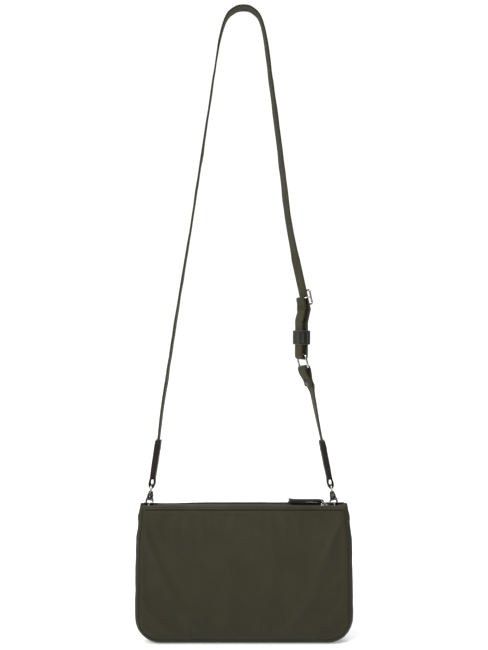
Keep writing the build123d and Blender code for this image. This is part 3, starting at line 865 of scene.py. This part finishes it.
def ring_tab(side):
    """The folded tab that holds the ring's straight bar, its ends sewn in at the side seam."""
    sign = 1 if side == "right" else -1
    reach = 112.6 - abs(contact_x[side])
    path = [(sign * reach, -1.15), (sign * 3.2, -1.0)]
    path += [(-sign * 1.65 * sin(radians(a)), -1.65 * cos(radians(a))) for a in range(0, 181, 20)]
    path += [(sign * 3.2, 0.2), (sign * reach, -0.25)]
    bar = Vector((contact_x[side], 0, contact_z - 8.0))
    stations = [(bar + Vector((x, 0, z)), Vector((0, 1, 0))) for x, z in path]
    builder = Builder()
    ribbon(builder, stations, 6.6, 0.75, 0.4, flats=5)
    made = builder.object(side + "_ring_tab")
    finish_object(made, "bag_back", band_cloth_painted_lighter, "band_fabric", [side + "_d_ring_tab"])


# ---------------------------------------------------------------- pouch outline
# Half the pouch's width down its side: the mouth's corner, the soft swell under it, and the fall.
side_shape = [
    (114.8, -550.4),
    (116.0, -555.0),
    (117.4, -561.5),
    (117.9, -566.0),
    (117.5, -571.0),
    (118.8, -579.0),
    (120.1, -592.0),
    (120.8, -625.0),
    (121.2, -655.0),
]


def right_side_outline():
    """Points from the mouth's right corner down the side and round to the middle of the bottom."""
    down = [(x, 0, z) for x, z in side_shape]
    down.append((pouch_half_width, 0, pouch_bottom_z + corner_radius))
    points = smooth_curve(down, 8)
    centre = Vector((pouch_half_width - corner_radius, 0, pouch_bottom_z + corner_radius))
    for a in range(6, 91, 6):
        offset = Vector((cos(radians(a)), 0, -sin(radians(a)))) * corner_radius
        points.append(centre + offset)
    points += [Vector((x, 0, pouch_bottom_z)) for x in (80, 60, 40, 20, 0)]
    return points


def even_points(points, step):
    places = np.array([tuple(p) for p in points], float)
    reached = reached_lengths(places)
    wanted = np.linspace(0, reached[-1], int(round(reached[-1] / step)) + 1)
    return at_lengths(wanted, reached, places)


def pouch_outline(step=1.5):
    """The whole silhouette from the left corner of the mouth, under the bottom, to the right corner."""
    right = even_points(right_side_outline(), step)
    left = right * np.array([-1.0, 1.0, 1.0])
    outline = np.concatenate([left, right[::-1][1:]])
    along = np.gradient(outline, axis=0)
    along /= np.linalg.norm(along, axis=1)[:, None]
    outward = np.stack([along[:, 2], np.zeros(len(along)), -along[:, 0]], axis=1)
    reached = np.arange(len(outline)) * step
    return outline, outward, reached


outline, outward, outline_reached = pouch_outline()


def ripple(x, y, z, size, seed):
    """Smooth seeded noise from about -1 to 1 with lumps of the given size."""
    return noise.noise(Vector((x / size + seed, y / size - seed, z / size + 2.7 * seed)))


def seam_line(inset, y):
    """The outline drawn in by inset, at depth y."""
    line = outline - outward * inset
    line[:, 1] = y
    return line


def gusset_strip():
    """The strip round the sides and bottom, bowed out between its two seams and slightly crumpled."""
    rows = 19

    def place(j, i):
        v = -1 + 2 * j / (rows - 1)
        x, y, z = outline[i]
        crumple = 0.45 * ripple(x, v * 8, z, 13.0, 3.1)
        crumple += 0.9 * ripple(x, v * 5, z, 9.0, 8.4) * max(0.0, (z + 600) / 50)
        near_floor = clamped((z - pouch_bottom_z) / 4.0)
        out = crumple * (1 - v**4) * near_floor - seam_inset * abs(v) ** 2.6
        here = outline[i] + outward[i] * out
        return Vector((here[0], v * seam_y, here[2])), (v * 8, outline_reached[i])

    made = cloth_grid("gusset_strip_cloth", rows, len(outline), place, True, 0.7)
    ends = ((0, seam_y, -620), (0, -seam_y, -620))
    bend_object(made, ends, shell_cloth, "shell_fabric", ["gusset"])


# ---------------------------------------------------------------- panels
panel_top_z = -552.2


def panel_border():
    """The panel's cut outline inside the seam, as (x, z) points, counter-clockwise."""
    line = seam_line(seam_inset, 0.0)
    inside = [(p[0], p[2]) for p in line if p[2] < panel_top_z - 0.6]
    top_half = abs(inside[0][0])
    top = [(top_half - 1.5 * k, panel_top_z) for k in range(int(2 * top_half / 1.5) + 1)]
    return inside, top


def panel_mesh(spacing=2.6):
    """A triangulated panel: its points as (x, z), and its triangles."""
    inside, top = panel_border()
    border = inside + top
    border_array = np.array(border)
    points = list(border)
    rows = int(150 / (spacing * 0.866)) + 2
    for j in range(rows):
        z = pouch_bottom_z + 4.0 + j * spacing * 0.866
        for i in range(int(244 / spacing)):
            x = -122 + i * spacing + (spacing / 2 if j % 2 else 0.0)
            points.append((x, z))
    grid = np.array(points)
    gap = np.array([np.min(np.hypot(*(border_array - p).T)) for p in grid[len(border):]])
    keep = [tuple(p) for p, g in zip(grid[len(border):], gap) if g > spacing * 0.55]
    vectors = [Vector(p) for p in border + keep]
    edges = [(i, (i + 1) % len(border)) for i in range(len(border))]
    made = geometry.delaunay_2d_cdt(vectors, edges, [], 1, 1e-4)
    flat = [tuple(p) for p in made[0]]
    return flat, [tuple(f) for f in made[2]]


def panel_depths(flat):
    """How far each point is from the side and bottom seam, and below the top band."""
    seam = seam_line(seam_inset, 0.0)[:, (0, 2)]
    cloud = np.array(flat)
    side_gap = np.array([np.min(np.hypot(*(seam - p).T)) for p in cloud])
    top_gap = np.maximum(0.0, band_bottom_z + 1.0 - cloud[:, 1])
    return side_gap, top_gap


def panel_rise(side_gap, top_gap):
    """How proud the cloth stands of its seam: a quick turn at the seam, then a long soft swell."""
    turn = 0.55 * (1 - np.exp(-side_gap / 0.9))
    swell = 4.0 * (1 - np.exp(-side_gap / 17.0)) * (1 - np.exp(-top_gap / 24.0))
    under_band = 0.95 * (1 - np.exp(-top_gap / 1.1))
    return turn + swell + under_band * (1 - np.exp(-side_gap / 2.0))


def simulate_cloth(made, pinned, spare=0.006, frames=36, gravity=0.35):
    """Blender's Cloth on a panel held at its seams, cut a little larger than its frame."""
    group = made.vertex_groups.new(name="held")
    group.add([int(i) for i in np.nonzero(pinned)[0]], 1.0, "REPLACE")
    cloth = made.modifiers.new("Cloth", "CLOTH")
    settings = cloth.settings
    settings.quality = 6
    settings.mass = 0.15
    settings.tension_stiffness = 25.0
    settings.compression_stiffness = 25.0
    settings.shear_stiffness = 12.0
    settings.bending_stiffness = 1.2
    settings.air_damping = 3.0
    settings.vertex_group_mass = "held"
    settings.shrink_min = -spare
    settings.effector_weights.gravity = gravity
    cloth.collision_settings.use_collision = False
    scene = bpy.context.scene
    scene.frame_start = 1
    scene.frame_end = frames
    cloth.point_cache.frame_start = 1
    cloth.point_cache.frame_end = frames
    for number in range(1, frames + 1):
        scene.frame_set(number)
    graph = bpy.context.evaluated_depsgraph_get()
    shape = made.evaluated_get(graph).to_mesh()
    result = np.array([tuple(v.co) for v in shape.vertices], float)
    made.modifiers.clear()
    made.vertex_groups.clear()
    scene.frame_set(1)
    return result


cloth_scale = 6.0
flat_panel, panel_faces = panel_mesh()
panel_side_gap, panel_top_gap = panel_depths(flat_panel)
panel_proud = panel_rise(panel_side_gap, panel_top_gap)


def panel_points(facing, seed):
    """The panel's settled points in millimetres, facing -1 for the front and 1 for the back."""
    depth = np.full(len(flat_panel), seam_y) + panel_proud
    start = np.array([(p[0], facing * d, p[1]) for p, d in zip(flat_panel, depth)])
    moved = np.zeros(len(start))
    builder = Builder()
    lumps = [0.5 * ripple(p[0], 0, p[1], 32.0, seed) for p in flat_panel]
    soft = start.copy()
    soft[:, 1] += facing * np.array(lumps) * np.minimum(1.0, panel_side_gap / 20.0)
    builder.add(soft * cloth_scale, oriented_faces(facing))
    made = builder.object("settling")
    pinned = (panel_side_gap < 1.2) | (panel_top_gap < 0.5)
    settled = simulate_cloth(made, pinned) / MM / cloth_scale
    bpy.data.objects.remove(made)
    moved = (settled - start)[:, 1] * facing
    moved = 2.6 * np.tanh(moved / 2.6)
    free = np.minimum(1.0, panel_side_gap / 9.0) * np.minimum(1.0, panel_top_gap / 6.0)
    for i, (x, z) in enumerate(flat_panel):
        slow = 0.30 * ripple(x, 0, z, 26.0, seed + 1) + 0.16 * ripple(x, 0, z, 11.0, seed + 2)
        streak = noise.noise(Vector((x / 40.0 + seed, 0.3 * x / 8.0 + z / 8.0, seed)))
        slow += 0.17 * streak
        edge = 0.32 * ripple(x, 0, z, 6.5, seed + 5)
        near_seam = np.exp(-((panel_side_gap[i] - 3.0) / 3.0) ** 2) * min(1.0, panel_top_gap[i] / 3.0)
        fold = corner_fold(x, z) + top_fold(x, z, seed)
        shift = moved[i] * free[i] + (slow + fold) * free[i] + edge * near_seam
        start[i, 1] += facing * shift
    return start


def corner_fold(x, z):
    """Soft diagonal folds running up and inwards from the bottom corners."""
    total = 0.0
    for side in (-1, 1):
        across = (side * x - 96.0) * 0.5 + (z + 676.0) * 0.86
        along = (side * x - 96.0) * -0.86 + (z + 676.0) * 0.5
        reach = np.exp(-((along - 22.0) / 26.0) ** 2)
        total += 0.55 * reach * (np.exp(-(across / 5.0) ** 2) - 0.6 * np.exp(-((across - 9.0) / 6.0) ** 2))
    return total


def top_fold(x, z, seed):
    """Small pulls hanging from the band's seam, strongest at the two ends."""
    below = band_bottom_z - z
    strength = 0.16 + 0.5 * np.exp(-(((abs(x) - 104.0) / 16.0) ** 2))
    return strength * np.exp(-below / 16.0) * ripple(x, 0, 0, 7.0, seed + 9)


def oriented_faces(facing):
    """Triangles with their outside towards the panel's own side."""
    a, b, c = (Vector((*flat_panel[i], 0)) for i in panel_faces[0])
    counter_clockwise = (b - a).cross(c - a).z > 0
    keep = counter_clockwise == (facing < 0)
    return panel_faces if keep else [f[::-1] for f in panel_faces]


def panel_piece(name, points, facing, thick, body, cloth, slot, node, inward=0.0, smooth=True):
    """A sheet from the settled points, moved inwards for the lining."""
    builder = Builder()
    shape = points.copy()
    shape[:, 1] -= facing * inward
    builder.add(shape, oriented_faces(facing))
    made = builder.object(name)
    if smooth:
        finer = made.modifiers.new("finer", "SUBSURF")
        finer.levels = 1
        finer.render_levels = 1
    thicken(made, thick)
    finish_object(made, body, cloth, slot, [node])


def seam_roll(facing, label, body):
    """The turned edge where a panel meets the gusset: a fine cloth roll with slight puckers."""
    line = seam_line(seam_inset - 0.1, facing * (seam_y + 0.12))
    path = [p for p in line if p[2] < band_bottom_z + 3.0]
    radii = [0.62 + 0.07 * sin(i * 1.9) + 0.06 * ripple(p[0], 0, p[2], 5.0, 2.2) for i, p in enumerate(path)]
    builder = Builder()
    tube(builder, path, radii, 10)
    finish_object(builder.object(label + "_seam_roll"), body, shell_cloth, "shell_fabric")


# ---------------------------------------------------------------- mouth
# The band's section as (depth, height): a rolled top edge, a groove, and a stitched lower edge.
band_profile = [
    (band_y - 0.95, band_bottom_z - 0.6),
    (band_y - 0.95, band_bottom_z + 1.6),
    (band_y - 0.4, band_bottom_z + 1.95),
    (band_y + 0.3, band_bottom_z + 2.2),
    (band_y + 0.36, -554.5),
    (band_y + 0.24, -554.0),
    (band_y - 0.3, -553.6),
    (band_y + 0.2, -553.1),
    (band_y + 0.26, -552.2),
    (band_y - 0.02, -551.45),
    (band_y - 0.58, -551.2),
    (band_y - 1.1, -551.5),
    (band_y - 1.28, -552.5),
    (band_y - 1.28, -554.5),
    (band_y - 1.28, band_bottom_z + 0.3),
]


def band_piece(facing, label, body):
    """The doubled strip along the mouth, with a slight wave; the back one dips at the left."""
    section = smooth_curve([(0, y, z) for y, z in band_profile], 3)
    lift = 0.5 if facing < 0 else 0.9
    columns = 150

    def place(i, k):
        x = -band_half_length + 2 * band_half_length * i / columns
        y, z = section[k].y, section[k].z
        height = (z - band_bottom_z) / 6.0
        top = lift + 0.22 * ripple(x, facing * 9, 0, 21.0, 4.0)
        if facing > 0:
            top -= 1.5 * np.exp(-(((x + 84.0) / 24.0) ** 2))
        pucker = 0.07 * sin(2 * pi * x / 3.4) * max(0.0, 1 - abs(height - 0.15) * 5)
        y += 0.22 * ripple(x, facing * 9, 0, 15.0, 6.5) * height + pucker
        return Vector((x, facing * y, z + top * max(0.0, height - 0.25))), (k * 0.3, x)

    name = label + "_band"
    made = cloth_grid(name, columns + 1, len(section), place, facing < 0, 0.5)
    finish_object(made, body, band_cloth_painted_lighter, "band_fabric", [label + "_top_band"])
    row = [(x, facing * (band_y - 0.2), band_bottom_z + 1.2) for x in range(-110, 111, 4)]
    stitches(name + "_stitches", [row], body, "band_fabric", radius=0.58, stitch=2.4, gap=0.7)


def zip_tape(facing, label, body):
    """The tape: flat from the coil to the band, then turned up and sewn to its inner face, where its dark
    cloth is partly painted shade low on that face.
    """
    # The last points run the dark tape up the band's inner face: partly real tape, partly painted shade
    # there.
    profile = [(1.0, 0.0), (4.2, 0.05), (5.5, 0.25), (6.1, 0.8), (6.3, 1.5), (6.32, 2.1), (6.32, 2.7)]
    section = smooth_curve([(0, y, zip_z + up) for y, up in profile], 3)
    left, right = zip_left_x - 2.4, zip_right_x + 1.4
    columns = 120

    def place(i, k):
        x = left + (right - left) * i / columns
        sag = 0.12 * ripple(x, facing, 0, 18.0, 5.5)
        return Vector((x, facing * section[k].y, section[k].z + sag)), (k * 0.6, x)

    made = cloth_grid(label + "_tape", columns + 1, len(section), place, facing > 0, 0.45, 0.0)
    finish_object(made, body, tape_cloth, "zip_tape", ["zip_tape_" + label])


def zip_coil(facing, label, body):
    """One row of the coil: a flattened spiral whose heads fit between the other row's heads."""
    pitch, sides = 1.5, 16
    left, right = zip_left_x + 2.2, zip_right_x - 2.4
    count = int((right - left) / pitch * sides)
    path = []
    for k in range(count):
        turn = k / sides
        angle = 2 * pi * turn
        x = left + pitch * (turn + (0.5 if facing > 0 else 0.0))
        y = 1.5 - 1.4 * cos(angle)
        path.append((x, facing * y, zip_z + 0.72 * sin(angle)))
    builder = Builder()
    tube(builder, path, 0.27, 6)
    seam_path = [(x, facing * 2.1, zip_z + 1.02) for x in np.arange(left, right, 4.0)]
    stitch_row(builder, seam_path, radius=0.22, stitch=1.1, gap=0.4)
    made = builder.object(label + "_coil")
    finish_object(made, body, coil_plastic, "zip_teeth", ["zip_teeth_" + label])


def zip_stops():
    for name, x, y, wide, body, node in (
        ("bottom_stop", zip_left_x + 0.8, 0.0, 5.0, "bag_back", "zip_bottom_stop"),
        ("front_top_stop", zip_right_x - 0.85, -1.55, 2.2, "bag_front", "zip_top_stop_front"),
        ("back_top_stop", zip_right_x - 0.85, 1.55, 2.2, "bag_back", "zip_top_stop_back"),
    ):
        builder = Builder()
        block(builder, (x, y, zip_z), (1.4, wide, 2.0))
        made = casting(builder, name, None, 0.16, 3)
        finish_object(made, body, nickel, "hardware", [node])


def zip_slider_piece():
    """The slider: two shaped plates with curled flanges, the neck, and the bail for the pull."""
    local = Matrix.Translation((slider_x, 0, zip_z))
    builder = Builder()
    for side in (-1, 1):
        z = side * (slider_plate_rise + 0.45)
        block(builder, (-0.6, 0, z), (7.0, 6.2, 0.8))
        block(builder, (1.6, 0, z), (4.6, 7.4, 0.8))
        for y in (-3.4, 3.4):
            block(builder, (1.4, y, z - side * 0.3), (4.6, 0.7, 0.9))
    block(builder, (2.6, -0.4, 0), (1.8, 0.6, 3.0))
    top = slider_plate_rise + 0.8
    arch = [(-3.1, 0, top), (-2.9, 0, top + 0.9), (-2.0, 0, top + 1.4), (0.0, 0, top + 1.5)]
    arch += [(2.0, 0, top + 1.4), (2.9, 0, top + 0.9), (3.1, 0, top)]
    tube(builder, smooth_curve(arch, 4), 0.6, 12)
    made = casting(builder, "zip_slider_casting", local, 0.2, 4)
    finish_object(made, "zip_slider", nickel, "hardware", ["zip_slider"])


pull_frame = Matrix.Translation(pull_pivot) @ Matrix.Rotation(radians(pull_link_tilt), 4, "Y")


def pull_link():
    """The wire link between the slider's bail and the pull."""
    builder = Builder()
    half = pull_link_length / 2
    loop = [(a - half, b, 0) for a, b in rounded_loop(half, 3.0, 1.0)]
    tube(builder, loop, 0.55, 14, closed=True)
    made = builder.object("pull_link_wire", pull_frame)
    finish_object(made, "zip_pull", nickel, "hardware", ["zip_pull_link"])


def pull_leather():
    """The leather pull folded round the link, its two leaves sprung apart at the tip."""
    eye = pull_frame @ Vector((-pull_link_length, 0, 0))
    leaf = 1.1
    length = pull_tab_length
    lower = [(-length, -1.45), (-length + 4.0, -0.9), (-length + 12.0, -0.55), (-6.0, -0.55), (-2.6, -0.75)]
    fold = [(1.25 * sin(radians(a)), -1.25 * cos(radians(a))) for a in (20, 60, 90, 120, 160)]
    upper = [(-2.6, 0.8), (-6.0, 0.6), (-length + 12.0, 0.5), (-length + 4.0, 0.95), (-length + 0.6, 1.55)]
    line = [(x, z + 1.0 - np.exp(min(x + 1.0, 0.0) / 1.4)) for x, z in lower + fold + upper]
    stations = [(eye + Vector((x, 0, z)), Vector((0, 1, 0))) for x, z in line]
    smooth = smooth_stations(stations, 6)
    total = even_stations(smooth, 1.0)[3]

    def width(reached):
        from_fold = abs(reached - total / 2)
        neck = 4.6 + (pull_tab_width - 4.6) * clamped((from_fold - 3.2) / 3.0)
        from_end = total / 2 - from_fold
        rounded = pull_tab_width - 2.2 * (1 - min(from_end / 1.6, 1.0)) ** 2
        return min(neck, rounded)

    builder = Builder()
    ribbon(builder, smooth, width, leaf, 0.5, flats=6)
    finish_object(builder.object("pull_leather"), "zip_pull", olive_leather, "leather", ["zip_pull_tab"])
    rows = [[eye + Vector((x, y, 2.02)) for x in (-length + 7.0, -length / 2, -7.0)] for y in (-3.1, 3.1)]
    stitches("pull_stitches", rows, "zip_pull", "leather", radius=0.2, stitch=1.8, gap=0.7)


def mouth_corner(side):
    """The small tucked cloth that closes the top between the ring and the side seam."""
    sign = 1 if side == "right" else -1
    inner = abs(contact_x[side]) + 5.2
    rows, columns = 13, 7

    def place(j, i):
        v = -1 + 2 * j / (rows - 1)
        u = i / (columns - 1)
        x = inner + (mouth_end_x - inner) * u
        z = -553.2 + 1.9 * u - 1.2 * (1 - abs(v)) * (1 - 0.5 * u) + 0.35 * ripple(x, v * 6, 0, 4.0, 7.7)
        return Vector((sign * x, v * mouth_half_depth, z)), (x, v * mouth_half_depth)

    made = cloth_grid(side + "_mouth_tuck", rows, columns, place, sign < 0, 0.5)
    ends = ((0, mouth_half_depth, -553), (0, -mouth_half_depth, -553))
    bend_object(made, ends, band_cloth_painted_lighter, "band_fabric")


# ---------------------------------------------------------------- the object
upper_webbing()
tail_webbing()
lower_webbing()
rivet_place = lower_frame @ Matrix.Translation((0, 0, lower_rivet_up))
rivet("lower_rivet_heads", rivet_place, webbing_thick + 0.1, ["lower_rivet"])
for side in ("left", "right"):
    leather_strip(side)
    leather_trim(side)
    clip_eye(side)
    clip_hook(side)
    clip_gate(side)
    d_ring(side)
    ring_tab(side)
    mouth_corner(side)
keeper_loop()
ring_wire_piece()
slider_frame_piece()

for facing, label, seed in ((-1, "front", 11.3), (1, "back", 23.9)):
    body = "bag_" + label
    settled = panel_points(facing, seed)
    panel_piece(label + "_shell", settled, facing, 0.7, body, shell_cloth, "shell_fabric", label + "_panel")
    satin = (label + "_satin", settled, facing, 0.3, body, lining_cloth, "lining", label + "_lining")
    panel_piece(*satin, inward=lining_gap, smooth=False)
    seam_roll(facing, label, body)
    band_piece(facing, label, body)
    zip_tape(facing, label, body)
    zip_coil(facing, label, body)
gusset_strip()
zip_stops()
zip_slider_piece()
pull_link()
pull_leather()


# ---------------------------------------------------------------- floor, light and camera
def stage_material(name, value, glow):
    made = bpy.data.materials.new(name)
    made.use_nodes = True
    shader = made.node_tree.nodes["Principled BSDF"]
    shader.inputs["Base Color"].default_value = (value, value, value, 1.0)
    shader.inputs["Roughness"].default_value = 0.9
    shader.inputs["Specular IOR Level"].default_value = 0.1
    shader.inputs["Emission Color"].default_value = (1.0, 1.0, 1.0, 1.0)
    shader.inputs["Emission Strength"].default_value = glow
    return made


def make_floor():
    builder = Builder()
    half, z = 9000.0, pouch_bottom_z - 0.3
    builder.add([(-half, -half, z), (half, -half, z), (half, half, z), (-half, half, z)], [(0, 1, 2, 3)])
    floor = builder.object("floor")
    floor.data.materials.append(stage_material("pale_floor", 0.9, 0.2))


def place_light(name, data, place, towards):
    light = bpy.data.objects.new(name, data)
    light.location = place
    light.rotation_euler = Vector(towards).to_track_quat("-Z", "Y").to_euler()
    bpy.context.scene.collection.objects.link(light)


def key_light():
    """A large soft light high on the left."""
    data = bpy.data.lights.new("key", "AREA")
    data.shape = "DISK"
    data.size = 0.9
    data.energy = 20.0
    place = Vector((-1.1, -1.3, 0.95))
    place_light("key", data, place, Vector((0, 0, -0.45)) - place)


def snoot_light():
    """A soft round beam that fades from the middle of the cone to its edge."""
    data = bpy.data.lights.new("snoot", "SPOT")
    data.energy = 98.0
    data.spot_size = radians(27.0)
    data.spot_blend = 1.0
    data.shadow_soft_size = 0.16
    place = Vector((-0.75, -1.15, 0.3))
    place_light("snoot", data, place, Vector((-0.02, 0, -0.37)) - place)


def overhead_light():
    """Even soft light from above, so that the floor is as white far away as near the purse."""
    data = bpy.data.lights.new("overhead", "SUN")
    data.energy = 2.5
    data.angle = radians(60.0)
    place_light("overhead", data, (0, 0, 0), (0.05, 0.25, -1.0))


def make_world():
    """Studio surroundings: a white backdrop behind the purse, and a dim room at the sides and in front."""
    world = bpy.data.worlds.new("studio")
    world.use_nodes = True
    tree = world.node_tree
    place = tree.nodes.new("ShaderNodeTexCoord")
    split = add_node(tree, "SeparateXYZ", [("Vector", place.outputs["Generated"])])
    backwards = [("Value", split.outputs["Y"])]
    level = add_node(tree, "MapRange", backwards, From_Min=0.45, From_Max=0.88, To_Min=0.24, To_Max=1.08)
    tree.links.new(level.outputs["Result"], tree.nodes["Background"].inputs["Strength"])
    tree.nodes["Background"].inputs["Color"].default_value = (1.0, 1.0, 1.0, 1.0)
    bpy.context.scene.world = world


def make_camera():
    """Straight in front of the purse, with the strap's top and the purse's foot both in view."""
    distance, height, view_height = 0.95, -0.3518, 0.7233
    data = bpy.data.cameras.new("camera")
    data.sensor_width = 36.0
    data.lens = data.sensor_width * distance / view_height
    camera = bpy.data.objects.new("camera", data)
    camera.location = (0, -distance, height)
    camera.rotation_euler = (radians(90), 0, 0)
    bpy.context.scene.collection.objects.link(camera)
    bpy.context.scene.camera = camera
    bpy.context.scene.view_settings.view_transform = "Standard"


make_floor()
make_world()
key_light()
snoot_light()
overhead_light()

make_camera()
